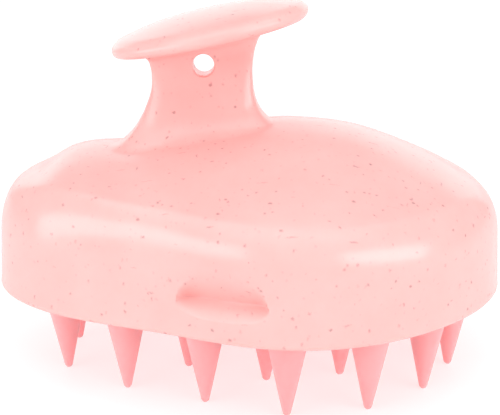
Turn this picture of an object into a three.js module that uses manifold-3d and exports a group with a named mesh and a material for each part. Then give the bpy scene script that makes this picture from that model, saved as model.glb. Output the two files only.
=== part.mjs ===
// Hand-held scalp massager brush: an egg-shaped shell with a T handle moulded on top,
// and a soft pad of cone bristles held in its open underside. Millimetres, +Z up, bristle tips at Z = 0.
import * as THREE from 'three';
import { mergeVertices } from 'three/addons/utils/BufferGeometryUtils.js';
import Module from 'manifold-3d';

const wasm = await Module();
wasm.setup();

// Egg plan of the body, round end towards +X
const LENGTH = 101; // at the rim
const LOBE_2 = 0.131; // makes the plan longer than wide
const LOBE_3 = -0.062; // makes the +X end rounder
const LOBE_4 = 0.036; // straightens the flanks of the narrow end
const EGG_RADIUS = LENGTH / 2 / (1 + LOBE_2 + LOBE_4);
const EGG_CENTRE_X = -EGG_RADIUS * LOBE_3;
const EGG_SEGMENTS = 64;
const SHOULDER_STEPS = 5;
const DOME_STEPS = 9;

// Body shell
const WALL = 2.2;
const RIM_Z = 17.2;
const RIM_ROUND = 0.8;
const WALL_DRAFT = 0.6; // the wall leans in by this much from rim to shoulder
const DOME_POWER = 1.75; // 1 gives straight flanks, 2 a round dome
// Side views as [x, z]: where the side wall starts to turn into the shoulder, the edge of the top surface
// if the shoulder were sharp, and the middle line of the top
const WALL_TOP = [[-50, 26.8], [-25, 27.8], [-5, 28.8], [15, 29], [50, 27.8]];
const SHOULDER_REACH = [[-50, 6.4], [-30, 5], [-15, 4.5], [15, 4.5], [35, 5], [50, 6]]; // as [x, inwards]
const DOME_EDGE = [[-50, 38.3], [-25, 37.8], [0, 35.8], [25, 35.3], [50, 36.8]];
const SPINE = [[-50, 38.2], [-46, 38.7], [-42, 39.9], [-36.5, 43.3], [-32, 44.4], [-24, 44.7], [-15, 46.6], [0, 49.1],
  [10, 49.5], [22, 47.9], [36, 42.6], [46, 37.4], [50, 36.8]];

// Handle: neck and palm disc, level lines tilted up towards +X
const HANDLE_TILT = 0.21;
const HANDLE_SEGMENTS = 48;
const NECK_CORNER = 3.2; // 2 gives an ellipse, more gives flatter faces
const HANDLE_SECTIONS = [
  { z: 43, x: -12.9, halfLength: 17.9, halfWidth: 9.4 },
  { z: 46, x: -12.4, halfLength: 16.5, halfWidth: 8.2 },
  { z: 48, x: -11.6, halfLength: 14.3, halfWidth: 6.5 },
  { z: 50.5, x: -10.75, halfLength: 12.15, halfWidth: 5.2 },
  { z: 54, x: -9.85, halfLength: 10.75, halfWidth: 4 },
  { z: 58, x: -9.2, halfLength: 9.9, halfWidth: 3.1 },
  { z: 61.5, x: -8.95, halfLength: 10.1, halfWidth: 2.6 },
  { z: 63.5, x: -8.85, halfLength: 10.8, halfWidth: 3 },
  { z: 64.7, x: -8.7, halfLength: 12.2, halfWidth: 4.6 },
];
const DISC_X = -7.6;
const DISC_Z = 67.5;
const DISC_HALF_LENGTH = 19;
const DISC_HALF_WIDTH = 17.1;
const DISC_RIM = 1.5; // radius of the rounded rim
const DISC_CROWN = 2.5; // rise of the top from the rim to the middle
const CROWN_RINGS = [0.85, 0.6, 0.3, 0.1]; // rings of the top, as shares of the disc's size
const CORE_SECTIONS = [
  { z: 40, x: -12, halfLength: 13.5, halfWidth: 6.2 },
  { z: 46, x: -11.6, halfLength: 12.4, halfWidth: 5.2 },
  { z: 50.5, x: -10.8, halfLength: 9.6, halfWidth: 2.9 },
  { z: 54, x: -10, halfLength: 7.8, halfWidth: 1.8 },
  { z: 56, x: -9.7, halfLength: 6.4, halfWidth: 1.2 },
];
const HOLE_X = -8.8;
const HOLE_Z = 61;
const HOLE_RADIUS = 2.1;
const DRILL_LENGTH = 30;
const DRILL_SEGMENTS = 24;

// Finger scoops in both flanks
const SCOOP_X = -5.1;
const SCOOP_Z = 26;
const SCOOP_RADII = [9.6, 4.2, 4.6]; // along the wall, into the wall, upwards
const SCOOP_OUTSET = 1.4; // centre of the scoop outside the wall

// Soft pad and its backing plate
const FIT_GAP = 0.3;
const PAD_Z = 17.7;
const PAD_THICKNESS = 2.4;
const PAD_LIP_INSET = 5.5; // clear of the scoops' inner bulges
const PAD_LIP_WIDTH = 1.5;
const PAD_LIP_HEIGHT = 2.5;
const PLATE_THICKNESS = 1.8;
const PLATE_RING_INSET = 9.5;
const PLATE_RING_WIDTH = 1.4;
const PLATE_RING_HEIGHT = 5;

// Bristles
const BRISTLE_RADIUS = 4.6;
const BRISTLE_TIP_RADIUS = 1;
const BRISTLE_TIP_FLAT = 0.5;
const BRISTLE_TIP_HEIGHT = 0.6;
const BRISTLE_BEND = THREE.MathUtils.degToRad(16); // the root is relieved by this angle so that it can lean
const BRISTLE_SEGMENTS = 12;
const OUTER_RING = { count: 14, inset: 10.2, start: 0.5, shiftX: 1.2 };
const INNER_RING = { count: 8, inset: 24.5, start: 0, shiftX: -0.6 };
// The bristles stand closer together towards the round end, and more so near it
const RING_CROWDING = 0.04;
const RING_CROWDING_GROWTH = 0.19;
const MIDDLE_BRISTLE_X = 5;

const SHELL_LOOK = { color: 0xfecdc9, roughness: 0.35, metalness: 0 };
const PLATE_LOOK = { color: 0xf3b9b4, roughness: 0.5, metalness: 0 };
const SILICONE_LOOK = { color: 0xff9c9c, roughness: 0.55, metalness: 0 };

// Distance from the egg's own centre to its outline, t = 0 at the round end
function eggRadius(t) {
  return EGG_RADIUS * (1 + LOBE_2 * Math.cos(2 * t) + LOBE_3 * Math.cos(3 * t) + LOBE_4 * Math.cos(4 * t));
}

// Point on the outline set in by a distance along its normal, then scaled about the egg's centre
function eggPoint(t, inset = 0, scale = 1) {
  const radius = eggRadius(t);
  const slope = -EGG_RADIUS * (2 * LOBE_2 * Math.sin(2 * t) + 3 * LOBE_3 * Math.sin(3 * t)
    + 4 * LOBE_4 * Math.sin(4 * t));
  const [cos, sin] = [Math.cos(t), Math.sin(t)];
  const normal = new THREE.Vector2(slope * sin + radius * cos, radius * sin - slope * cos).normalize();
  return [EGG_CENTRE_X + (radius * cos - inset * normal.x) * scale, (radius * sin - inset * normal.y) * scale];
}

// Smooth curve through points [x, z], read as z at a given x
function curveHeight(points, x) {
  const last = points.length - 2;
  const i = Math.min(last, Math.max(0, points.findIndex((p) => p[0] > x) - 1));
  const span = x >= points[last][0] ? last : i;
  const slope = (k) => {
    const [a, b] = [points[Math.max(0, k - 1)], points[Math.min(last + 1, k + 1)]];
    return (b[1] - a[1]) / (b[0] - a[0]);
  };
  const [x0, z0] = points[span];
  const [x1, z1] = points[span + 1];
  const u = THREE.MathUtils.clamp((x - x0) / (x1 - x0), 0, 1);
  const step = x1 - x0;
  return z0 * (1 + 2 * u) * (1 - u) ** 2 + z1 * u * u * (3 - 2 * u)
    + step * (slope(span) * u * (1 - u) ** 2 + slope(span + 1) * u * u * (u - 1));
}

// Height of the top surface at a point on the outline that is scaled by k
function domeHeight(x, k) {
  const edge = curveHeight(DOME_EDGE, x);
  const offset = x - EGG_CENTRE_X;
  const reach = Math.min(Math.abs(offset) / eggRadius(offset > 0 ? 0 : Math.PI), k);
  const share = (1 - k ** DOME_POWER) / Math.max(1 - reach ** DOME_POWER, 1e-6);
  return edge + (curveHeight(SPINE, x) - edge) * Math.min(share, 1);
}

// Skin over stacked closed outlines: a plain lathe whose vertices are moved onto the outlines
function skin(rows, segments, place) {
  const profile = rows.map((row, i) => new THREE.Vector2(row.pole ? 0 : 1, i));
  const geometry = new THREE.LatheGeometry(profile, segments);
  const vertices = geometry.attributes.position;
  for (let i = 0; i < vertices.count; i += 1) {
    const row = rows[Math.round(vertices.getY(i))];
    const t = Math.atan2(vertices.getX(i), vertices.getZ(i));
    vertices.setXYZ(i, ...place(row, row.pole ? 0 : t));
  }
  return geometry;
}

function toSolid(geometry) {
  const bare = geometry.clone();
  bare.deleteAttribute('normal');
  bare.deleteAttribute('uv');
  const merged = mergeVertices(bare, 1e-4);
  const corners = merged.index.array;
  const kept = [];
  for (let i = 0; i < corners.length; i += 3) {
    const [a, b, c] = corners.slice(i, i + 3);
    if (a !== b && b !== c && c !== a) {
      kept.push(a, b, c);
    }
  }
  const vertProperties = new Float32Array(merged.attributes.position.array);
  return new wasm.Manifold(new wasm.Mesh({ numProp: 3, vertProperties, triVerts: new Uint32Array(kept) }));
}

function toGeometry(solid) {
  const mesh = solid.getMesh();
  const geometry = new THREE.BufferGeometry();
  geometry.setAttribute('position', new THREE.BufferAttribute(mesh.vertProperties, 3));
  geometry.setIndex(new THREE.BufferAttribute(mesh.triVerts, 1));
  return geometry;
}

// Block of the body's outer form, or of its cavity when shrink is the wall thickness
function bodyBlock(shrink, bottomZ, round) {
  const rows = [
    { pole: true, flat: bottomZ },
    { inset: round, flat: bottomZ },
    { inset: round * 0.3, flat: bottomZ + round * 0.3 },
    { inset: 0, flat: bottomZ + round },
  ];
  for (let i = 0; i <= SHOULDER_STEPS; i += 1) {
    const turned = 1 - Math.cos((i / SHOULDER_STEPS) * Math.PI / 2);
    rows.push({ scale: 1, turned });
  }
  for (let i = DOME_STEPS - 1; i > 0; i -= 1) {
    rows.push({ scale: i / DOME_STEPS, turned: 1 });
  }
  rows.push({ pole: true, scale: 0, turned: 1 });
  return skin(rows, EGG_SEGMENTS, (row, t) => {
    if (row.flat !== undefined) {
      const [x, y] = eggPoint(t, row.pole ? 0 : row.inset + shrink, row.pole ? 0 : 1);
      return [x, y, row.flat];
    }
    const reach = curveHeight(SHOULDER_REACH, eggPoint(t)[0]);
    const inset = WALL_DRAFT + (reach - WALL_DRAFT) * row.turned;
    const [x, y] = eggPoint(t, inset + shrink, row.scale);
    const [outerX, outerY] = eggPoint(t, inset, row.scale);
    const k = Math.hypot(outerX - EGG_CENTRE_X, outerY) / eggRadius(t);
    const rounded = Math.sqrt(1 - (1 - row.turned) ** 2);
    const wallTop = curveHeight(WALL_TOP, outerX);
    return [x, y, wallTop + (domeHeight(outerX, k) - wallTop) * rounded - shrink];
  });
}

function superellipse(t, halfLength, halfWidth, corner) {
  const power = (v) => Math.sign(v) * Math.abs(v) ** (2 / corner);
  return [halfLength * power(Math.cos(t)), halfWidth * power(Math.sin(t))];
}

function handleSkin(sections) {
  const ends = [{ ...sections[0], pole: true }, ...sections, { ...sections.at(-1), pole: true }];
  return skin(ends, HANDLE_SEGMENTS, (row, t) => {
    const [dx, y] = row.pole ? [0, 0] : superellipse(t, row.halfLength, row.halfWidth, row.corner ?? NECK_CORNER);
    return [row.x + dx, y, row.z + HANDLE_TILT * dx];
  });
}

function discSections() {
  const sections = [];
  const ring = (z, inset) => sections.push({
    z, x: DISC_X, halfLength: DISC_HALF_LENGTH - inset, halfWidth: DISC_HALF_WIDTH - inset, corner: 2,
  });
  for (let angle = -60; angle <= 60; angle += 30) {
    const turn = THREE.MathUtils.degToRad(angle);
    ring(DISC_Z + DISC_RIM * Math.sin(turn), DISC_RIM * (1 - Math.cos(turn)));
  }
  const crownZ = DISC_Z + DISC_RIM * Math.sin(Math.PI / 3);
  for (const share of CROWN_RINGS) {
    ring(crownZ + DISC_CROWN * (1 - share * share), DISC_HALF_WIDTH * (1 - share));
  }
  return sections;
}

// Scoop cutter on the flank at side +1 or -1, grown by a margin on every side
function scoop(side, margin) {
  const wall = nearestAngle(SCOOP_X, side);
  const [x, y] = eggPoint(wall, -SCOOP_OUTSET);
  const [ax, ay] = eggPoint(wall - 0.01);
  const [bx, by] = eggPoint(wall + 0.01);
  const ball = new THREE.SphereGeometry(1, 32, 20);
  ball.scale(...SCOOP_RADII.map((radius) => radius + margin));
  ball.rotateZ(Math.atan2(by - ay, bx - ax));
  ball.translate(x, y, SCOOP_Z);
  return toSolid(ball);
}

// Angle of the outline point above x, on the flank at side +1 or -1
function nearestAngle(x, side) {
  let [low, high] = [0, Math.PI];
  for (let i = 0; i < 40; i += 1) {
    const middle = (low + high) / 2;
    if (eggPoint(middle)[0] > x) {
      low = middle;
    } else {
      high = middle;
    }
  }
  return side * low;
}

function bodyShell() {
  const handle = toSolid(handleSkin([...HANDLE_SECTIONS, ...discSections()]));
  const outside = toSolid(bodyBlock(0, RIM_Z, RIM_ROUND)).add(handle);
  const belowRim = RIM_Z - WALL;
  let cavity = toSolid(bodyBlock(WALL, belowRim, 0)).add(toSolid(handleSkin(CORE_SECTIONS)));
  let shell = outside;
  for (const side of [-1, 1]) {
    cavity = cavity.subtract(scoop(side, WALL));
    shell = shell.subtract(scoop(side, 0));
  }
  const drill = new THREE.CylinderGeometry(HOLE_RADIUS, HOLE_RADIUS, DRILL_LENGTH, DRILL_SEGMENTS);
  drill.translate(HOLE_X, 0, HOLE_Z);
  return toGeometry(shell.subtract(cavity).subtract(toSolid(drill)));
}

// Egg-shaped moulding turned from a profile of [inset, z] points that starts and ends on the axis
function eggMoulding(profile) {
  const rows = [
    { pole: true, z: profile[0][1] },
    ...profile.map(([inset, z]) => ({ inset, z })),
    { pole: true, z: profile.at(-1)[1] },
  ];
  return skin(rows, EGG_SEGMENTS, (row, t) => {
    const [x, y] = row.pole ? [EGG_CENTRE_X, 0] : eggPoint(t, row.inset);
    return [x, y, row.z];
  });
}

function bristlePad() {
  const edge = WALL + WALL_DRAFT / 2 + FIT_GAP; // the wall leans in behind the pad
  const back = PAD_Z + PAD_THICKNESS;
  const lipTop = back + PAD_LIP_HEIGHT;
  const lipInside = PAD_LIP_INSET + PAD_LIP_WIDTH;
  return eggMoulding([[edge, PAD_Z], [edge, back], [PAD_LIP_INSET, back], [PAD_LIP_INSET, lipTop],
    [lipInside, lipTop], [lipInside, back]]);
}

function backingPlate() {
  const edge = PAD_LIP_INSET + PAD_LIP_WIDTH + FIT_GAP;
  const under = PAD_Z + PAD_THICKNESS + FIT_GAP;
  const over = under + PLATE_THICKNESS;
  const ringInside = PLATE_RING_INSET + PLATE_RING_WIDTH;
  return eggMoulding([[edge, under], [edge, over], [PLATE_RING_INSET, over],
    [PLATE_RING_INSET, over + PLATE_RING_HEIGHT], [ringInside, over + PLATE_RING_HEIGHT], [ringInside, over]]);
}

// Cone with a blunt tip at the origin and a root that falls away at the bend angle
function bristle() {
  const rootZ = PAD_Z - FIT_GAP;
  const shoulderZ = rootZ - BRISTLE_RADIUS * Math.tan(BRISTLE_BEND);
  const outline = [[0, 0], [BRISTLE_TIP_FLAT, 0], [BRISTLE_TIP_RADIUS, BRISTLE_TIP_HEIGHT],
    [BRISTLE_RADIUS, shoulderZ], [0, rootZ]];
  const geometry = new THREE.LatheGeometry(outline.map(([r, z]) => new THREE.Vector2(r, z)), BRISTLE_SEGMENTS);
  geometry.rotateX(Math.PI / 2);
  return geometry;
}

// The egg outline at a given inset, as a curve from the narrow end round to the narrow end
class EggCurve extends THREE.Curve {
  constructor(inset) {
    super();
    this.inset = inset;
    this.arcLengthDivisions = 720;
  }

  getPoint(u, target = new THREE.Vector3()) {
    return target.set(...eggPoint(Math.PI * (1 + 2 * u), this.inset), 0);
  }
}

function ringPoints({ count, inset, start, shiftX }) {
  const outline = new EggCurve(inset);
  const shift = new THREE.Vector3(shiftX, 0, 0);
  return Array.from({ length: count }, (_, i) => {
    const share = (i + start) / count;
    const half = share <= 0.5 ? 2 * share : 2 - 2 * share;
    const crowding = (RING_CROWDING + RING_CROWDING_GROWTH * half) * half * (1 - half);
    const crowded = (half + crowding) / 2;
    return outline.getPointAt(share <= 0.5 ? crowded : 1 - crowded).add(shift);
  });
}

function named(name, geometry, look) {
  const mesh = new THREE.Mesh(geometry, new THREE.MeshStandardMaterial(look));
  mesh.name = name;
  return mesh;
}

const brush = new THREE.Group();
brush.add(named('body_shell', bodyShell(), SHELL_LOOK));
brush.add(named('backing_plate', backingPlate(), PLATE_LOOK));
brush.add(named('bristle_pad', bristlePad(), SILICONE_LOOK));

function addBristle(name, place) {
  const mesh = named(name, bristle(), SILICONE_LOOK);
  mesh.position.copy(place);
  brush.add(mesh);
}

ringPoints(OUTER_RING).forEach((place, i) => addBristle(`bristle_outer_${String(i + 1).padStart(2, '0')}`, place));
ringPoints(INNER_RING).forEach((place, i) => addBristle(`bristle_inner_${i + 1}`, place));
addBristle('bristle_middle', new THREE.Vector3(MIDDLE_BRISTLE_X, 0, 0));

export default brush;
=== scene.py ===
"""Scalp massager brush: straw-filled plastic shell with a T handle over a silicone bristle pad."""
import math

import bmesh
import bpy
from mathutils import Matrix, Quaternion, Vector


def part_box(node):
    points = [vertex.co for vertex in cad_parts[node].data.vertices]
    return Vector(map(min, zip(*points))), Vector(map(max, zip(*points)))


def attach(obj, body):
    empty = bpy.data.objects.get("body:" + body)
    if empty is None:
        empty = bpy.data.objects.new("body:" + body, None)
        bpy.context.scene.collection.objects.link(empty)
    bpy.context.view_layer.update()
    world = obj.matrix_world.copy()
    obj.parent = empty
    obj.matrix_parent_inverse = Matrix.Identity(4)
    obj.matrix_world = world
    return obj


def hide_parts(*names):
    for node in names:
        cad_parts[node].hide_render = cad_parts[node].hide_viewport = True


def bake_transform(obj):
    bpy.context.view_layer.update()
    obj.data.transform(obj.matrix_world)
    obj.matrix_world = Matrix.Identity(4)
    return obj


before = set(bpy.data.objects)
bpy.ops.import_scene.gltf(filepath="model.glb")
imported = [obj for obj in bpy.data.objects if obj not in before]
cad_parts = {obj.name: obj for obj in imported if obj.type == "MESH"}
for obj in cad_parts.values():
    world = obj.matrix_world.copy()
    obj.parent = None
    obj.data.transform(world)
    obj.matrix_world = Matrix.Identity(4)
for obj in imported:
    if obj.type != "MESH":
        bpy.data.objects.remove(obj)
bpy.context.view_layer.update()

bl_info = {
    "name": "Scalp Massager Brush",
    "version": (1, 0, 0),
    "blender": (4, 5, 0),
    "location": "View3D > Sidebar > Massager",
    "description": "Models a palm-held scalp massager brush around its packed frame",
    "category": "Object",
}

MM = 0.001
ROOT_BODY = "handle_body"
SHELL_LOW, SHELL_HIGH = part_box("body_shell")
PAD_LOW, PAD_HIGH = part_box("bristle_pad")
BRISTLES = sorted(
    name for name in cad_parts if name.startswith("bristle_") and name != "bristle_pad")

# Egg plan of the shell, in millimetres, round end towards +X
LENGTH = (SHELL_HIGH.x - SHELL_LOW.x) / MM
LOBES = {2: 0.131, 3: -0.062, 4: 0.036}
EGG_RADIUS = LENGTH / 2 / (1 + LOBES[2] + LOBES[4])
EGG_CENTRE_X = -EGG_RADIUS * LOBES[3]
RIM_Z = SHELL_LOW.z / MM
WALL_TOP = [(-50, 27.4), (-44, 26.4), (-36, 26), (-24, 27), (-5, 28.8), (15, 28.8), (50, 28)]
SHOULDER_REACH = [(-50, 5.8), (-30, 5), (-15, 4.5), (15, 4.5), (35, 5), (50, 6)]
WALL_DRAFT = 0.6
DOME_POWER = 1.75
DOME_EDGE = [(-50, 38.3), (-25, 37.8), (0, 35.8), (25, 35.3), (50, 36.8)]
SPINE = [(-50, 38.2), (-46, 38.7), (-42, 39.9), (-36.5, 43.3), (-32, 44.4), (-24, 44.7), (-15, 46.6),
         (0, 49.1), (10, 49.5), (22, 47.9), (36, 42.6), (46, 37.4), (50, 36.8)]

# Handle: its level lines rise towards +X by this slope. A section is its centre x, half length, half width
# and corner power, and the neck's have their height in front.
HANDLE_TILT = 0.21
FOOT_SECTION = (-11.3, 16.8, 8.4, 3.0)
NECK_SECTIONS = [(52, -10.25, 11.5, 4.5, 4.4), (54, -9.85, 10.75, 4.0, 5.0), (58, -9.2, 9.9, 3.1, 5.6),
                 (61.5, -8.95, 10.05, 2.6, 5.6), (63.2, -8.85, 10.5, 2.7, 4.6)]
DISC_X = -7.6
DISC_Z = 67.5
DISC_HALF_LENGTH = 19.0
DISC_HALF_WIDTH = 17.1
DISC_CORNER = 2  # corner power of a plain ellipse
DISC_RIM_TURN = 60  # degrees that the rounded rim turns above and below the disc's widest line
CROWN_SHARES = (0.93, 0.86, 0.76, 0.64, 0.52, 0.4, 0.28, 0.16, 0.07)

# Underside of the disc: where the neck's fillet ends it is squarer, lower and shifted towards -X
UNDERSIDE_START = (-8.6, 13.9, 6.4)
UNDERSIDE_END_LENGTH, UNDERSIDE_END_WIDTH = 18.1, 16.3
UNDERSIDE_SHARES = (0.3, 0.6, 0.85)
UNDERSIDE_SQUARENESS = 0.4
UNDERSIDE_SAG = 0.5
UNDERSIDE_SHIFT = 0.9

# Hanging hole, cut by a cutter that flares past the neck's faces
HOLE_X = -8.8
HOLE_Z = 61.0
HOLE_HALF_DEPTH = 2.72
HOLE_EDGE_ROUND = 0.25
CUTTER_REACH = 9
CUTTER_FLARE = 1.5

# Finger scoops: heights above and below the deepest line, and how its section and ends are rounded
SCOOP_X = -5.1
SCOOP_LINE_Z = 24.2
SCOOP_HALF_LENGTH = 8.7
SCOOP_ABOVE = 5.2
SCOOP_BELOW = 2.7
SCOOP_SOFTNESS = 0.07
SCOOP_POWER_ABOVE = 1.25
SCOOP_POWER_BELOW = 1.35
SCOOP_HEIGHT_POWER = 3
SCOOP_END_POWER = 8

# Bristle pad, with insets from the egg's outline. Each point of the bead is (inset, drop below the flat), and
# each point of the rounded edge is (inset from the pad's own edge, rise above the flat).
PAD_MIDDLE_INSET = 16
PAD_SHEET = 2.4
PAD_LIP_OUTER = 5.5
PAD_LIP_INNER = 7.0
PAD_BEAD = [(6.2, 0), (5.4, 0.1), (4.9, 0.35), (4.4, 0.35), (3.9, 0.1), (3.4, 0)]
PAD_EDGE_ROUND = [(0.3, 0), (0.08, 0.1), (0, 0.35)]
ROOT_DEPTH = 0.3  # how far a bristle's root is set into the pad

SHELL_SEGMENTS = 400
SCOOP_SEGMENTS = 64  # segments that cross each scoop
SCOOP_SPAN = 0.26  # angle to each side of a scoop's middle that those segments fill
PAD_SEGMENTS = 160
HOLE_SEGMENTS = 48
BRISTLE_SEGMENTS = 48

# Steps of each stretch of the shell's skin, in order from the middle of the hollow's roof to the palm disc
ROOF_STEPS = 6
INNER_SHOULDER_STEPS = 5
INNER_WALL_STEPS = 10
RIM_STEPS = 4
WALL_STEPS = 42
WALL_START = 0.08  # share of the wall's height from which its even steps count
SHOULDER_STEPS = 12
DOME_STEPS = 26
FOOT_FILLET_STEPS = 12
NECK_STEPS = 24
DISC_FILLET_STEPS = 8
FILLET_PULL = 0.9  # how strongly a fillet keeps the directions of the two surfaces that it joins

# Sockets of a mix node that is set to colour
MIX_SHARE, MIX_FIRST, MIX_SECOND, MIX_RESULT = 0, 6, 7, 2

# Each light: name, place, width and height in metres, power in watts, roll in degrees
SOFTBOXES = [
    ("softbox_left", (-0.43, -0.26, 0.140), 0.54, 0.14, 1.0, 20),
    ("softbox_right", (0.40, -0.30, 0.155), 0.46, 0.13, 1.0, -15),
    ("softbox_top", (0.0, -0.25, 0.74), 1.20, 0.80, 4.0, 0),
    ("backdrop_panel", (0.0, 1.00, 0.34), 1.80, 0.60, 3.4, 0),
]
LIGHT_AIM = Vector((0, 0, 0.03))
CAMERA_X = 0.0002


class MassagerShell(bpy.types.PropertyGroup):
    wall: bpy.props.FloatProperty(
        name="Wall", description="Thickness of the shell's wall", default=2.2 * MM, unit="LENGTH")
    rim_round: bpy.props.FloatProperty(
        name="Rim round", description="Radius of the outer edge of the rim", default=0.8 * MM, unit="LENGTH")
    disc_rim: bpy.props.FloatProperty(
        name="Disc rim", description="Radius of the palm disc's rounded rim", default=1.5 * MM, unit="LENGTH")
    disc_crown: bpy.props.FloatProperty(
        name="Disc crown", description="Rise of the palm disc towards its middle", default=2.9 * MM,
        unit="LENGTH")
    hole_radius: bpy.props.FloatProperty(
        name="Hole radius", description="Radius of the hanging hole", default=2.1 * MM, unit="LENGTH")
    scoop_depth: bpy.props.FloatProperty(
        name="Scoop depth", description="Depth of the finger scoops", default=3.0 * MM, unit="LENGTH")
    colour: bpy.props.FloatVectorProperty(
        name="Plastic", description="Colour of the straw-filled plastic", subtype="COLOR", size=3,
        default=(0.98, 0.485, 0.462), min=0, max=1)


class MassagerBristles(bpy.types.PropertyGroup):
    root_radius: bpy.props.FloatProperty(
        name="Root radius", description="Radius of a bristle where it meets the pad", default=4.25 * MM,
        unit="LENGTH")
    tip_radius: bpy.props.FloatProperty(
        name="Tip radius", description="Radius of the blunt tip", default=0.85 * MM, unit="LENGTH")
    root_fillet: bpy.props.FloatProperty(
        name="Root fillet", description="Radius that runs each bristle into the pad", default=1.0 * MM,
        unit="LENGTH")
    colour: bpy.props.FloatVectorProperty(
        name="Silicone", description="Colour of the silicone", subtype="COLOR", size=3,
        default=(1.0, 0.435, 0.445), min=0, max=1)


class MassagerStage(bpy.types.PropertyGroup):
    lens: bpy.props.FloatProperty(name="Lens", description="Focal length of the camera in mm", default=81.5)
    pitch: bpy.props.FloatProperty(
        name="Pitch", description="Angle that the camera looks down by", default=math.radians(16.3),
        subtype="ANGLE")
    distance: bpy.props.FloatProperty(
        name="Distance", description="Distance of the camera in front of the brush", default=0.220,
        unit="LENGTH")
    height: bpy.props.FloatProperty(
        name="Height", description="Height of the camera above the floor", default=0.0959, unit="LENGTH")


def linear(hex_colour):
    """An sRGB hex colour as linear RGBA."""
    channels = [int(hex_colour[i:i + 2], 16) / 255 for i in (1, 3, 5)]
    return tuple(c / 12.92 if c <= 0.04045 else ((c + 0.055) / 1.055) ** 2.4 for c in channels) + (1.0,)


def shade(colour, factors):
    """A linear colour with each channel times its factor, at most 1, as RGBA."""
    return tuple(min(1.0, c * f) for c, f in zip(colour, factors)) + (1.0,)


def egg_radius(t):
    """Radius of the egg outline at an angle about the egg's centre."""
    return EGG_RADIUS * (1 + sum(size * math.cos(order * t) for order, size in LOBES.items()))


def egg_point(t, inset=0.0, scale=1.0):
    """Point on the egg outline, set in along its normal and scaled about the egg's centre."""
    radius = egg_radius(t)
    slope = -EGG_RADIUS * sum(order * size * math.sin(order * t) for order, size in LOBES.items())
    cos, sin = math.cos(t), math.sin(t)
    normal = Vector((slope * sin + radius * cos, radius * sin - slope * cos)).normalized()
    x, y = radius * cos - inset * normal.x, radius * sin - inset * normal.y
    return (EGG_CENTRE_X + x * scale, y * scale)


def curve_height(points, x):
    """Smooth curve through (x, z) points, read at x."""
    last = len(points) - 2
    span = max(0, min(last, sum(1 for p in points if p[0] <= x) - 1))

    def slope(k):
        a, b = points[max(0, k - 1)], points[min(last + 1, k + 1)]
        return (b[1] - a[1]) / (b[0] - a[0])

    (x0, z0), (x1, z1) = points[span], points[span + 1]
    u = min(max((x - x0) / (x1 - x0), 0.0), 1.0)
    return (z0 * (1 + 2 * u) * (1 - u) ** 2 + z1 * u * u * (3 - 2 * u)
            + (x1 - x0) * (slope(span) * u * (1 - u) ** 2 + slope(span + 1) * u * u * (u - 1)))


def dome_height(x, y):
    """Height of the shell's top surface over a point of the plan, before the shoulder is rounded."""
    t = math.atan2(y, x - EGG_CENTRE_X)
    k = math.hypot(x - EGG_CENTRE_X, y) / egg_radius(t)
    edge = curve_height(DOME_EDGE, x)
    offset = x - EGG_CENTRE_X
    reach = min(abs(offset) / egg_radius(0 if offset > 0 else math.pi), k)
    share = (1 - min(k, 1) ** DOME_POWER) / max(1 - reach ** DOME_POWER, 1e-6)
    return edge + (curve_height(SPINE, x) - edge) * min(share, 1.0)


def oval_point(t, centre_x, half_length, half_width, corner):
    """Point on an oval that is an ellipse at corner power 2 and squarer above it."""
    def power(v):
        return math.copysign(abs(v) ** (2 / corner), v)
    return (centre_x + half_length * power(math.cos(t)), half_width * power(math.sin(t)))


def flank_angle(x):
    """Angle of the egg outline's point above x on the +Y flank."""
    low, high = 0.0, math.pi
    for _ in range(40):
        middle = (low + high) / 2
        if egg_point(middle)[0] > x:
            low = middle
        else:
            high = middle
    return low


SCOOP_ANGLE = flank_angle(SCOOP_X)


def scoop_share(x, y, z):
    """Share of the scoop's depth at a point of the flank: 0 outside the scoop, 1 along its deepest line."""
    centre_x, centre_y = egg_point(SCOOP_ANGLE)
    along = math.hypot(x - centre_x, abs(y) - centre_y) / SCOOP_HALF_LENGTH
    if along >= 1:
        return 0.0
    above = z > SCOOP_LINE_Z
    spread = (1 - along ** SCOOP_HEIGHT_POWER) ** 0.5
    up = (z - SCOOP_LINE_Z) / ((SCOOP_ABOVE if above else SCOOP_BELOW) * spread)
    if abs(up) >= 1:
        return 0.0
    soft = SCOOP_SOFTNESS
    rounded = (math.hypot(up, soft) - soft) / (math.hypot(1, soft) - soft)
    section = (1 - rounded) ** (SCOOP_POWER_ABOVE if above else SCOOP_POWER_BELOW)
    return section * (1 - along ** SCOOP_END_POWER) ** 0.5


def angles(count):
    """Even angles round a circle."""
    return [2 * math.pi * i / count for i in range(count)]


def shell_angles():
    """Angles round the shell, packed closer where they cross the two scoops."""
    first, last = SCOOP_ANGLE - SCOOP_SPAN, SCOOP_ANGLE + SCOOP_SPAN
    spare = SHELL_SEGMENTS // 2 - SCOOP_SEGMENTS
    front = round(spare * first / (math.pi - 2 * SCOOP_SPAN))
    back = spare - front
    half = [first * i / front for i in range(front)]
    half += [first + 2 * SCOOP_SPAN * i / SCOOP_SEGMENTS for i in range(SCOOP_SEGMENTS)]
    half += [last + (math.pi - last) * i / back for i in range(back)]
    return half + [math.pi] + [2 * math.pi - t for t in reversed(half[1:])]


SHELL_ANGLES = shell_angles()


def flank_ring(share, inset, drop, depth):
    """Ring of the side wall at a share of its height, pushed in where the finger scoops are."""
    ring = []
    for t in SHELL_ANGLES:
        x, y = egg_point(t, WALL_DRAFT * share)
        top = curve_height(WALL_TOP, x) - drop
        z = RIM_Z + (top - RIM_Z) * share
        push = depth * scoop_share(*egg_point(t), z)
        x, y = egg_point(t, inset + WALL_DRAFT * share + push)
        ring.append(Vector((x, y, z)))
    return ring


def rim_ring(z, inset):
    """Level ring of the rim."""
    return [Vector((*egg_point(t, inset), z)) for t in SHELL_ANGLES]


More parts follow.
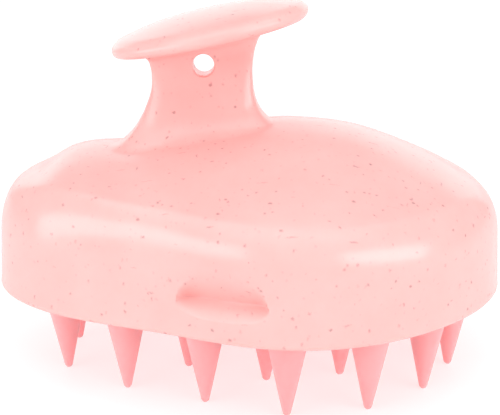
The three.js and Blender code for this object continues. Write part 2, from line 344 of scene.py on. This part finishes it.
def top_ring(scale, turned, drop, depth):
    """Ring of the shoulder or dome; turned runs from 0 at the top of the wall to 1 on the dome."""
    ring = []
    rounded = math.sqrt(max(0.0, 1 - (1 - turned) ** 2))
    for t in SHELL_ANGLES:
        inset = WALL_DRAFT + (shoulder_reach(t) - WALL_DRAFT) * turned
        outer_x, outer_y = egg_point(t, inset, scale)
        wall_top = curve_height(WALL_TOP, outer_x)
        z = wall_top + (dome_height(outer_x, outer_y) - wall_top) * rounded
        push = depth * scoop_share(*egg_point(t), z)
        x, y = egg_point(t, inset + drop + push, scale)
        ring.append(Vector((x, y, z - drop)))
    return ring


def shoulder_reach(t):
    """How far the rounded shoulder reaches in from the egg outline."""
    return curve_height(SHOULDER_REACH, egg_point(t)[0])


def quarter_turn(share):
    """Share of a rounding's width that is passed at a share of its quarter turn."""
    return 1 - math.cos(share * math.pi / 2)


def section_ring(z, centre_x, half_length, half_width, corner):
    """Tilted oval ring of the neck or the palm disc."""
    ring = []
    for t in SHELL_ANGLES:
        x, y = oval_point(t, centre_x, half_length, half_width, corner)
        ring.append(Vector((x, y, z + HANDLE_TILT * (x - centre_x))))
    return ring


def bridge_rings(before, start, end, after, steps):
    """Rings of a fillet that leaves start as if from before and arrives at end as if towards after."""
    rings = []
    for i in range(1, steps):
        u = i / steps
        ring = []
        for a, b, c, d in zip(before, start, end, after):
            reach = (c - b).length * FILLET_PULL
            leave = (b - a).normalized() * reach
            arrive = (d - c).normalized() * reach
            ring.append(b * (1 + 2 * u) * (1 - u) ** 2 + c * u * u * (3 - 2 * u)
                        + leave * u * (1 - u) ** 2 + arrive * u * u * (u - 1))
        rings.append(ring)
    return rings


def cavity_rings(wall, rim_round, depth):
    """Rings of the hollow side, from the middle of its roof down to the rim."""
    rings = [top_ring(i / ROOF_STEPS, 1, wall, 0) for i in range(1, ROOF_STEPS + 1)]
    for i in reversed(range(INNER_SHOULDER_STEPS)):
        rings.append(top_ring(1, quarter_turn(i / INNER_SHOULDER_STEPS), wall, depth))
    for i in reversed(range(INNER_WALL_STEPS)):
        rings.append(flank_ring(i / INNER_WALL_STEPS, wall, wall, depth))
    rings.append(rim_ring(RIM_Z, (wall + rim_round) / 2))
    return rings


def wall_rings(rim_round, depth):
    """Rings of the outer side, from the rounded rim up the wall and over the shoulder."""
    rings = []
    for i in range(RIM_STEPS + 1):
        turn = i / RIM_STEPS * math.pi / 2
        rings.append(rim_ring(RIM_Z + rim_round * (1 - math.cos(turn)), rim_round * (1 - math.sin(turn))))
    for i in range(1, WALL_STEPS + 1):
        rings.append(flank_ring(WALL_START + (1 - WALL_START) * i / WALL_STEPS, 0, 0, depth))
    for i in range(1, SHOULDER_STEPS + 1):
        rings.append(top_ring(1, quarter_turn(i / SHOULDER_STEPS), 0, depth))
    return rings


def dome_rings():
    """Rings that close in over the dome from the shoulder to the foot of the neck."""
    rings = []
    for i in range(1, DOME_STEPS + 1):
        share = 1 - i / DOME_STEPS
        ring = []
        for t in SHELL_ANGLES:
            edge_x, edge_y = egg_point(t, shoulder_reach(t))
            foot_x, foot_y = oval_point(t, *FOOT_SECTION)
            x, y = foot_x + (edge_x - foot_x) * share, foot_y + (edge_y - foot_y) * share
            ring.append(Vector((x, y, dome_height(x, y))))
        rings.append(ring)
    return rings


def neck_rings():
    """Rings up the neck, smooth through its sections."""
    low, high = NECK_SECTIONS[0][0], NECK_SECTIONS[-1][0]
    curves = [[(section[0], section[k]) for section in NECK_SECTIONS] for k in range(1, 5)]
    rings = []
    for i in range(NECK_STEPS + 1):
        z = low + (high - low) * i / NECK_STEPS
        rings.append(section_ring(z, *(curve_height(curve, z) for curve in curves)))
    return rings


def rim_rise(rim):
    """Height of the ends of the disc's rounded rim above and below its widest line."""
    return rim * math.sin(math.radians(DISC_RIM_TURN))


def disc_rings(rim, crown):
    """Underside from the fillet outwards, rounded rim, then the crowned top."""
    rings = []

    def ring(z, inset):
        rings.append(section_ring(z, DISC_X, DISC_HALF_LENGTH - inset, DISC_HALF_WIDTH - inset, DISC_CORNER))

    underside = DISC_Z - rim_rise(rim)
    start_x, start_length, start_width = UNDERSIDE_START
    rings.append(section_ring(underside - UNDERSIDE_SAG, start_x, start_length, start_width,
                              DISC_CORNER + UNDERSIDE_SQUARENESS))
    for share in UNDERSIDE_SHARES:
        mix = 1 - share
        rings.append(section_ring(underside - UNDERSIDE_SAG * mix, DISC_X - UNDERSIDE_SHIFT * mix,
                                  start_length * mix + UNDERSIDE_END_LENGTH * share,
                                  start_width * mix + UNDERSIDE_END_WIDTH * share,
                                  DISC_CORNER + UNDERSIDE_SQUARENESS * mix))
    for angle in range(-DISC_RIM_TURN, DISC_RIM_TURN + 1, 10):
        turn = math.radians(angle)
        ring(DISC_Z + rim * math.sin(turn), rim * (1 - math.cos(turn)))
    crown_z = DISC_Z + rim_rise(rim)
    for share in CROWN_SHARES:
        ring(crown_z + crown * (1 - share * share), DISC_HALF_WIDTH * (1 - share))
    return rings


def deselect_all():
    if bpy.context.object and bpy.context.object.mode != "OBJECT":
        bpy.ops.object.mode_set(mode="OBJECT")
    bpy.ops.object.select_all(action="DESELECT")


def select_only(piece):
    deselect_all()
    piece.select_set(True)
    bpy.context.view_layer.objects.active = piece


def loft(name, rings, start_pole, end_pole):
    """Extrudes a circle ring by ring in edit mode and closes each end at its pole."""
    deselect_all()
    bpy.ops.mesh.primitive_circle_add(
        vertices=len(rings[0]), radius=1, fill_type="NOTHING", location=(0, 0, 0))
    piece = bpy.context.object
    piece.name = piece.data.name = name
    bpy.ops.object.mode_set(mode="EDIT")
    mesh = bmesh.from_edit_mesh(piece.data)
    mesh.verts.ensure_lookup_table()
    place = {}
    for i, point in enumerate(rings[0]):
        mesh.verts[i].co = point * MM
        place[mesh.verts[i]] = i
    first = list(place)
    for ring in rings[1:]:
        place = extrude_ring(piece, place, ring)
    close_pole(piece, list(place), end_pole)
    close_pole(piece, first, start_pole)
    bpy.ops.mesh.select_all(action="SELECT")
    bpy.ops.mesh.normals_make_consistent(inside=False)
    bpy.ops.object.mode_set(mode="OBJECT")
    return piece


def extrude_ring(piece, place, ring):
    """Extrudes the selected edge loop to a ring's points; place says which point each vertex stands for."""
    bpy.ops.mesh.extrude_edges_move()
    mesh = bmesh.from_edit_mesh(piece.data)
    moved = {}
    for vertex, i in place.items():
        for edge in vertex.link_edges:
            other = edge.other_vert(vertex)
            if other.select:
                other.co = ring[i] * MM
                moved[other] = i
    return moved


def close_pole(piece, edge, pole):
    """Closes an open edge loop with triangles that meet at a pole."""
    mesh = bmesh.from_edit_mesh(piece.data)
    for vertex in mesh.verts:
        vertex.select = False
    for vertex in edge:
        vertex.select = True
    mesh.select_flush(True)
    mesh.select_mode = {"VERT"}
    bpy.ops.mesh.extrude_edges_move()
    bpy.ops.mesh.merge(type="CENTER")
    mesh = bmesh.from_edit_mesh(piece.data)
    for vertex in mesh.verts:
        if vertex.select:
            vertex.co = pole * MM
    bmesh.update_edit_mesh(piece.data)


def apply_modifier(piece, kind, **settings):
    select_only(piece)
    modifier = piece.modifiers.new(kind.title(), kind)
    for key, value in settings.items():
        setattr(modifier, key, value)
    bpy.ops.object.modifier_apply(modifier=modifier.name)


def smooth(piece, angle=40):
    select_only(piece)
    bpy.ops.object.shade_smooth_by_angle(angle=math.radians(angle))


def add_node(tree, kind, settings=None):
    """Adds a node. Each setting is a property, an input's value or a socket that is linked to the input.
    Inputs go by name or, where a name repeats, by number."""
    node = tree.nodes.new(kind)
    for key, value in (settings or {}).items():
        if isinstance(value, bpy.types.NodeSocket):
            tree.links.new(value, node.inputs[key])
        elif isinstance(key, int) or key in node.inputs:
            node.inputs[key].default_value = value
        else:
            setattr(node, key, value)
    return node


def new_material(name):
    material = bpy.data.materials.new(name)
    material.use_nodes = True
    material.node_tree.nodes.clear()
    return material, material.node_tree


def finish_material(tree, shader):
    add_node(tree, "ShaderNodeOutputMaterial", {"Surface": shader.outputs["BSDF"]})


# Each fleck layer: cell mm, radius mm, share of cells, stretch, turn in degrees, strength, colour. A fleck is
# full up to its core and gone at its fade, both as shares of its radius.
FLECK_CORE, FLECK_FADE = 0.4, 1.3
FLECKS = [
    (1.5, 0.25, 0.6, (1.0, 0.8, 1.0), (20, 10, 0), 0.30, "#DB8F97"),
    (2.1, 0.28, 0.8, (1.0, 1.0, 0.75), (0, 35, 15), 0.44, "#9C6E74"),
    (3.0, 0.31, 0.75, (0.85, 1.0, 1.0), (50, 5, 70), 0.48, "#80565C"),
    (2.2, 0.21, 0.6, (0.14, 1.0, 1.0), (10, 25, 40), 0.45, "#A0757A"),
    (2.4, 0.21, 0.6, (1.0, 0.14, 1.0), (35, 15, 80), 0.45, "#A0757A"),
]


def add_flecks(tree, place, colour):
    """Lays each layer of flecks over a colour, and also gives the mask of the first layer."""
    masks = []
    for cell, radius, share, stretch, turn, strength, tint in FLECKS:
        placed = add_node(tree, "ShaderNodeMapping", {
            "Vector": place, "Scale": stretch, "Rotation": tuple(math.radians(a) for a in turn)})
        cells = add_node(tree, "ShaderNodeTexVoronoi", {
            "Vector": placed.outputs["Vector"], "Scale": 1 / (cell * MM)})
        spot = add_node(tree, "ShaderNodeMapRange", {
            "Value": cells.outputs["Distance"], "From Min": FLECK_CORE * radius / cell,
            "From Max": FLECK_FADE * radius / cell, "To Min": strength, "To Max": 0.0})
        picked = add_node(tree, "ShaderNodeSeparateColor", {"Color": cells.outputs["Color"]})
        chosen = add_node(tree, "ShaderNodeMath", {
            "operation": "LESS_THAN", 0: picked.outputs["Red"], 1: share})
        amount = add_node(tree, "ShaderNodeMath", {
            "operation": "MULTIPLY", 0: spot.outputs["Result"], 1: chosen.outputs["Value"]})
        tinted = add_node(tree, "ShaderNodeMix", {
            "data_type": "RGBA", MIX_SHARE: amount.outputs["Value"], MIX_FIRST: colour,
            MIX_SECOND: linear(tint)})
        colour = tinted.outputs[MIX_RESULT]
        masks.append(amount.outputs["Value"])
    return colour, masks[0]


def straw_plastic():
    """Polypropylene filled with ground wheat straw, injection moulded in a satin mould: milky pink with a
    soft sheen, faint clouding from the flow, and small brown straw flecks just under the skin."""
    material, tree = new_material("straw_filled_polypropylene_moulded")
    tint = bpy.context.scene.massager_shell.colour
    where = add_node(tree, "ShaderNodeTexCoord").outputs["Object"]
    ripple = add_node(tree, "ShaderNodeTexNoise", {"Vector": where, "Scale": 1 / (0.7 * MM), "Detail": 2.0})
    ragged = add_node(tree, "ShaderNodeVectorMath", {
        "operation": "MULTIPLY_ADD", 0: ripple.outputs["Color"], 1: (0.7 * MM, 0.7 * MM, 0.7 * MM), 2: where})
    cloud = add_node(tree, "ShaderNodeTexNoise", {
        "Vector": where, "Scale": 1 / (14 * MM), "Detail": 5.0, "Roughness": 0.62})
    base = add_node(tree, "ShaderNodeMix", {
        "data_type": "RGBA", MIX_SHARE: cloud.outputs["Fac"], MIX_FIRST: shade(tint, (0.97, 0.88, 0.88)),
        MIX_SECOND: shade(tint, (1.0, 1.12, 1.12))})
    colour, marks = add_flecks(tree, ragged.outputs["Vector"], base.outputs[MIX_RESULT])
    gloss = add_node(tree, "ShaderNodeMapRange", {
        "Value": cloud.outputs["Fac"], "From Min": 0.3, "From Max": 0.7, "To Min": 0.20, "To Max": 0.26})
    skin = add_node(tree, "ShaderNodeTexNoise", {"Vector": where, "Scale": 1 / (0.9 * MM), "Detail": 2.0})
    grain = add_node(tree, "ShaderNodeBump", {
        "Height": skin.outputs["Fac"], "Strength": 0.12, "Distance": 0.03 * MM})
    sunk = add_node(tree, "ShaderNodeBump", {
        "Height": marks, "Normal": grain.outputs["Normal"], "Strength": 0.2, "Distance": 0.04 * MM,
        "invert": True})
    shader = add_node(tree, "ShaderNodeBsdfPrincipled", {
        "Base Color": colour, "Roughness": gloss.outputs["Result"], "Normal": sunk.outputs["Normal"],
        "IOR": 1.49, "Subsurface Weight": 0.25, "Subsurface Radius": (1.0, 0.35, 0.3),
        "Subsurface Scale": 2.0 * MM})
    finish_material(tree, shader)
    return material


def soft_silicone():
    """Cast silicone rubber: translucent, so light goes through the thin tips and the shaded side glows, with
    a satin skin and very slight clouding."""
    material, tree = new_material("translucent_silicone_rubber_moulded")
    tint = bpy.context.scene.massager_bristles.colour
    where = add_node(tree, "ShaderNodeTexCoord").outputs["Object"]
    cloud = add_node(tree, "ShaderNodeTexNoise", {"Vector": where, "Scale": 1 / (7 * MM), "Detail": 2.0})
    base = add_node(tree, "ShaderNodeMix", {
        "data_type": "RGBA", MIX_SHARE: cloud.outputs["Fac"], MIX_FIRST: shade(tint, (0.94, 0.94, 0.94)),
        MIX_SECOND: shade(tint, (1.05, 1.05, 1.05))})
    gloss = add_node(tree, "ShaderNodeMapRange", {
        "Value": cloud.outputs["Fac"], "From Min": 0.3, "From Max": 0.7, "To Min": 0.42, "To Max": 0.5})
    skin = add_node(tree, "ShaderNodeTexNoise", {"Vector": where, "Scale": 1 / (0.6 * MM), "Detail": 1.0})
    grain = add_node(tree, "ShaderNodeBump", {
        "Height": skin.outputs["Fac"], "Strength": 0.1, "Distance": 0.02 * MM})
    shader = add_node(tree, "ShaderNodeBsdfPrincipled", {
        "Base Color": base.outputs[MIX_RESULT], "Roughness": gloss.outputs["Result"],
        "Normal": grain.outputs["Normal"], "IOR": 1.41, "Subsurface Weight": 1.0,
        "Subsurface Radius": (1.0, 0.25, 0.25), "Subsurface Scale": 1.6 * MM})
    finish_material(tree, shader)
    return material


def plate_plastic():
    """Plain polypropylene for the hidden plate: matt, with a fine spark-eroded grain."""
    material, tree = new_material("plain_polypropylene_moulded")
    where = add_node(tree, "ShaderNodeTexCoord").outputs["Object"]
    grainy = add_node(tree, "ShaderNodeTexNoise", {"Vector": where, "Scale": 1 / (0.4 * MM), "Detail": 3.0})
    base = add_node(tree, "ShaderNodeMix", {
        "data_type": "RGBA", MIX_SHARE: grainy.outputs["Fac"], MIX_FIRST: linear("#EFB5B0"),
        MIX_SECOND: linear("#F6C1BC")})
    grain = add_node(tree, "ShaderNodeBump", {
        "Height": grainy.outputs["Fac"], "Strength": 0.3, "Distance": 0.03 * MM})
    shader = add_node(tree, "ShaderNodeBsdfPrincipled", {
        "Base Color": base.outputs[MIX_RESULT], "Normal": grain.outputs["Normal"], "IOR": 1.49,
        "Roughness": 0.5})
    finish_material(tree, shader)
    return material


def lit_acrylic():
    """Opal acrylic sheet of a lit table: even white with a barely visible cloud."""
    material, tree = new_material("opal_acrylic_sheet_lit")
    where = add_node(tree, "ShaderNodeTexCoord").outputs["Object"]
    cloud = add_node(tree, "ShaderNodeTexNoise", {"Vector": where, "Scale": 1 / (30 * MM), "Detail": 2.0})
    base = add_node(tree, "ShaderNodeMix", {
        "data_type": "RGBA", MIX_SHARE: cloud.outputs["Fac"], MIX_FIRST: linear("#B2B2B2"),
        MIX_SECOND: linear("#B6B6B6")})
    shader = add_node(tree, "ShaderNodeBsdfPrincipled", {
        "Base Color": base.outputs[MIX_RESULT], "Roughness": 0.6, "Specular IOR Level": 0.1,
        "Emission Color": (1, 1, 1, 1), "Emission Strength": 0.60})
    finish_material(tree, shader)
    return material


def set_material(piece, material):
    piece.data.materials.clear()
    piece.data.materials.append(material)


class MASSAGER_OT_shell(bpy.types.Operator):
    """Model the shell with its neck, palm disc, finger scoops and hanging hole"""
    bl_idname = "massager.shell"
    bl_label = "Shell"

    def execute(self, context):
        sizes = context.scene.massager_shell
        wall, rim_round, depth = sizes.wall / MM, sizes.rim_round / MM, sizes.scoop_depth / MM
        rim, crown = sizes.disc_rim / MM, sizes.disc_crown / MM
        dome, neck, disc = dome_rings(), neck_rings(), disc_rings(rim, crown)
        rings = cavity_rings(wall, rim_round, depth) + wall_rings(rim_round, depth) + dome
        rings += bridge_rings(dome[-2], dome[-1], neck[0], neck[1], FOOT_FILLET_STEPS) + neck
        rings += bridge_rings(neck[-2], neck[-1], disc[0], disc[1], DISC_FILLET_STEPS) + disc
        inner_pole = Vector((EGG_CENTRE_X, 0, dome_height(EGG_CENTRE_X, 0) - wall))
        outer_pole = Vector((DISC_X, 0, DISC_Z + rim_rise(rim) + crown))
        shell = loft("massager_shell", rings, inner_pole, outer_pole)
        self.drill_hole(shell, sizes.hole_radius / MM)
        smooth(shell)
        set_material(shell, straw_plastic())
        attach(shell, ROOT_BODY)
        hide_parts("body_shell")
        return {"FINISHED"}

    @staticmethod
    def drill_hole(shell, radius):
        """Cuts the hanging hole with a cutter that widens at both faces, so its edges come out rounded."""
        half, mouth = HOLE_HALF_DEPTH, HOLE_EDGE_ROUND
        profile = [(-CUTTER_REACH, radius + CUTTER_FLARE), (-half, radius + mouth)]
        for i in range(1, 5):
            turn = i / 5 * math.pi / 2
            profile.append((-half + mouth * math.sin(turn), radius + mouth * (1 - math.sin(turn))))
        profile += [(-half + mouth, radius), (0, radius)]
        profile += [(-y, r) for y, r in reversed(profile[:-1])]
        rings = [[Vector((HOLE_X + r * math.cos(t), y, HOLE_Z + r * math.sin(t)))
                  for t in angles(HOLE_SEGMENTS)] for y, r in profile]
        near, far = (Vector((HOLE_X, y, HOLE_Z)) for y in (-CUTTER_REACH, CUTTER_REACH))
        cutter = loft("hole_cutter", rings, near, far)
        apply_modifier(shell, "BOOLEAN", operation="DIFFERENCE", solver="MANIFOLD", object=cutter)
        bpy.data.objects.remove(cutter)


class MASSAGER_OT_pad(bpy.types.Operator):
    """Model the silicone pad that carries the bristles, with its bead and its lip inside the shell"""
    bl_idname = "massager.pad"
    bl_label = "Bristle pad"

    def execute(self, context):
        low, high = PAD_LOW.z / MM, PAD_HIGH.z / MM
        edge = (PAD_LOW.x - SHELL_LOW.x) / MM
        back = low + PAD_SHEET
        bead = [(inset, low - drop) for inset, drop in PAD_BEAD]
        edge_round = [(edge + inset, low + rise) for inset, rise in PAD_EDGE_ROUND]
        lip = [(PAD_LIP_OUTER, back), (PAD_LIP_OUTER, high), (PAD_LIP_INNER, high), (PAD_LIP_INNER, back)]
        profile = [(PAD_MIDDLE_INSET, low), *bead, *edge_round, (edge, back), *lip, (PAD_MIDDLE_INSET, back)]
        rings = [[Vector((*egg_point(t, inset), z)) for t in angles(PAD_SEGMENTS)] for inset, z in profile]
        under, over = (Vector((EGG_CENTRE_X, 0, z)) for z in (low, back))
        pad = loft("bristle_pad_silicone", rings, under, over)
        apply_modifier(pad, "BEVEL", width=0.15 * MM, segments=2, limit_method="ANGLE",
                       angle_limit=math.radians(40))
        smooth(pad)
        set_material(pad, silicone_material())
        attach(pad, ROOT_BODY)
        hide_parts("bristle_pad")
        return {"FINISHED"}


def silicone_material():
    return bpy.data.materials.get("translucent_silicone_rubber_moulded") or soft_silicone()


class MASSAGER_OT_bristles(bpy.types.Operator):
    """Model one cone bristle and copy it to every place in the pad"""
    bl_idname = "massager.bristles"
    bl_label = "Bristles"

    def execute(self, context):
        if not BRISTLES:
            raise RuntimeError("the frame holds no bristle nodes")
        master = self.model(context.scene.massager_bristles)
        for name in BRISTLES:
            low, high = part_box(name)
            bristle = master.copy()
            bristle.data = master.data.copy()
            bristle.name = bristle.data.name = name + "_silicone"
            context.scene.collection.objects.link(bristle)
            bristle.data.transform(Matrix.Translation(
                Vector(((low.x + high.x) / 2, (low.y + high.y) / 2, low.z))))
            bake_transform(bristle)
            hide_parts(name)
        bpy.data.objects.remove(master)
        return {"FINISHED"}

    @staticmethod
    def model(sizes):
        """One bristle with its tip at the origin: root set into the pad, fillet, straight cone, blunt tip."""
        root, tip, fillet = sizes.root_radius / MM, sizes.tip_radius / MM, sizes.root_fillet / MM
        height = PAD_LOW.z / MM
        profile = [(root + fillet, height + ROOT_DEPTH), (root + fillet, height)]
        for turn in (25, 50, 75):
            angle = math.radians(turn)
            profile.append((root + fillet * (1 - math.sin(angle)), height - fillet * (1 - math.cos(angle))))
        straight_top = height - fillet
        for u in (0, 0.15, 0.35, 0.55, 0.75, 0.9, 1):
            profile.append((root + (tip - root) * u, straight_top + (tip - straight_top) * u))
        for turn in (25, 50, 72):
            angle = math.radians(turn)
            profile.append((tip * math.cos(angle), tip * (1 - math.sin(angle))))
        rings = [[Vector((r * math.cos(t), r * math.sin(t), z)) for t in angles(BRISTLE_SEGMENTS)]
                 for r, z in profile]
        bristle = loft("bristle_master", rings, Vector((0, 0, height + ROOT_DEPTH)), Vector((0, 0, 0)))
        apply_modifier(bristle, "SUBSURF", levels=1, render_levels=1)
        smooth(bristle, 60)
        set_material(bristle, silicone_material())
        return bristle


class MASSAGER_OT_plate(bpy.types.Operator):
    """Give the hidden backing plate its finish"""
    bl_idname = "massager.plate"
    bl_label = "Backing plate"

    def execute(self, context):
        set_material(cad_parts["backing_plate"], plate_plastic())
        return {"FINISHED"}


class MASSAGER_OT_stage(bpy.types.Operator):
    """Set the lit table, the soft lights and the camera"""
    bl_idname = "massager.stage"
    bl_label = "Stage"

    def execute(self, context):
        stage = context.scene.massager_stage
        deselect_all()
        bpy.ops.mesh.primitive_plane_add(size=4, location=(0, 0, 0))
        floor = context.object
        floor.name = "studio_floor"
        set_material(floor, lit_acrylic())
        for softbox in SOFTBOXES:
            self.add_softbox(*softbox)
        world = bpy.data.worlds.new("white_tent")
        context.scene.world = world
        world.use_nodes = True
        sky = world.node_tree.nodes["Background"]
        sky.inputs["Color"].default_value = (1, 1, 1, 1)
        sky.inputs["Strength"].default_value = 0.50
        context.scene.view_settings.view_transform = "Standard"
        camera = bpy.data.objects.new("camera", bpy.data.cameras.new("camera"))
        camera.data.lens = stage.lens
        camera.location = (CAMERA_X, -stage.distance, stage.height)
        camera.rotation_euler = (math.radians(90) - stage.pitch, 0, 0)
        context.scene.collection.objects.link(camera)
        context.scene.camera = camera
        return {"FINISHED"}

    @staticmethod
    def add_softbox(name, place, width, height, power, roll):
        """Adds a rectangular light that faces the brush, rolled about the line to it."""
        light = bpy.data.lights.new(name, "AREA")
        light.shape = "RECTANGLE"
        light.size, light.size_y = width, height
        light.energy = power
        lamp = bpy.data.objects.new(name, light)
        lamp.location = place
        aim = (LIGHT_AIM - Vector(place)).to_track_quat("-Z", "Y")
        lamp.rotation_euler = (aim @ Quaternion((0, 0, 1), math.radians(roll))).to_euler()
        bpy.context.scene.collection.objects.link(lamp)


class MASSAGER_PT_sidebar(bpy.types.Panel):
    """Lists the steps that build the brush"""
    bl_idname = "MASSAGER_PT_sidebar"
    bl_label = "Scalp Massager Brush"
    bl_space_type = "VIEW_3D"
    bl_region_type = "UI"
    bl_category = "Massager"

    def draw(self, context):
        for group in ("massager_shell", "massager_bristles", "massager_stage"):
            settings = getattr(context.scene, group)
            for name in settings.__annotations__:
                self.layout.prop(settings, name)
        for operator in STEPS:
            self.layout.operator(operator.bl_idname)


STEPS = (MASSAGER_OT_stage, MASSAGER_OT_shell, MASSAGER_OT_pad, MASSAGER_OT_bristles, MASSAGER_OT_plate)
SETTINGS = {
    "massager_shell": MassagerShell,
    "massager_bristles": MassagerBristles,
    "massager_stage": MassagerStage,
}


def register():
    for cls in (*SETTINGS.values(), *STEPS, MASSAGER_PT_sidebar):
        bpy.utils.register_class(cls)
    for name, cls in SETTINGS.items():
        setattr(bpy.types.Scene, name, bpy.props.PointerProperty(type=cls))


def unregister():
    for name in SETTINGS:
        delattr(bpy.types.Scene, name)
    for cls in (MASSAGER_PT_sidebar, *reversed(STEPS), *reversed(SETTINGS.values())):
        bpy.utils.unregister_class(cls)


def main():
    register()
    bpy.ops.massager.stage()
    bpy.ops.massager.shell()
    bpy.ops.massager.pad()
    bpy.ops.massager.bristles()
    bpy.ops.massager.plate()


if __name__ == "__main__":
    main()
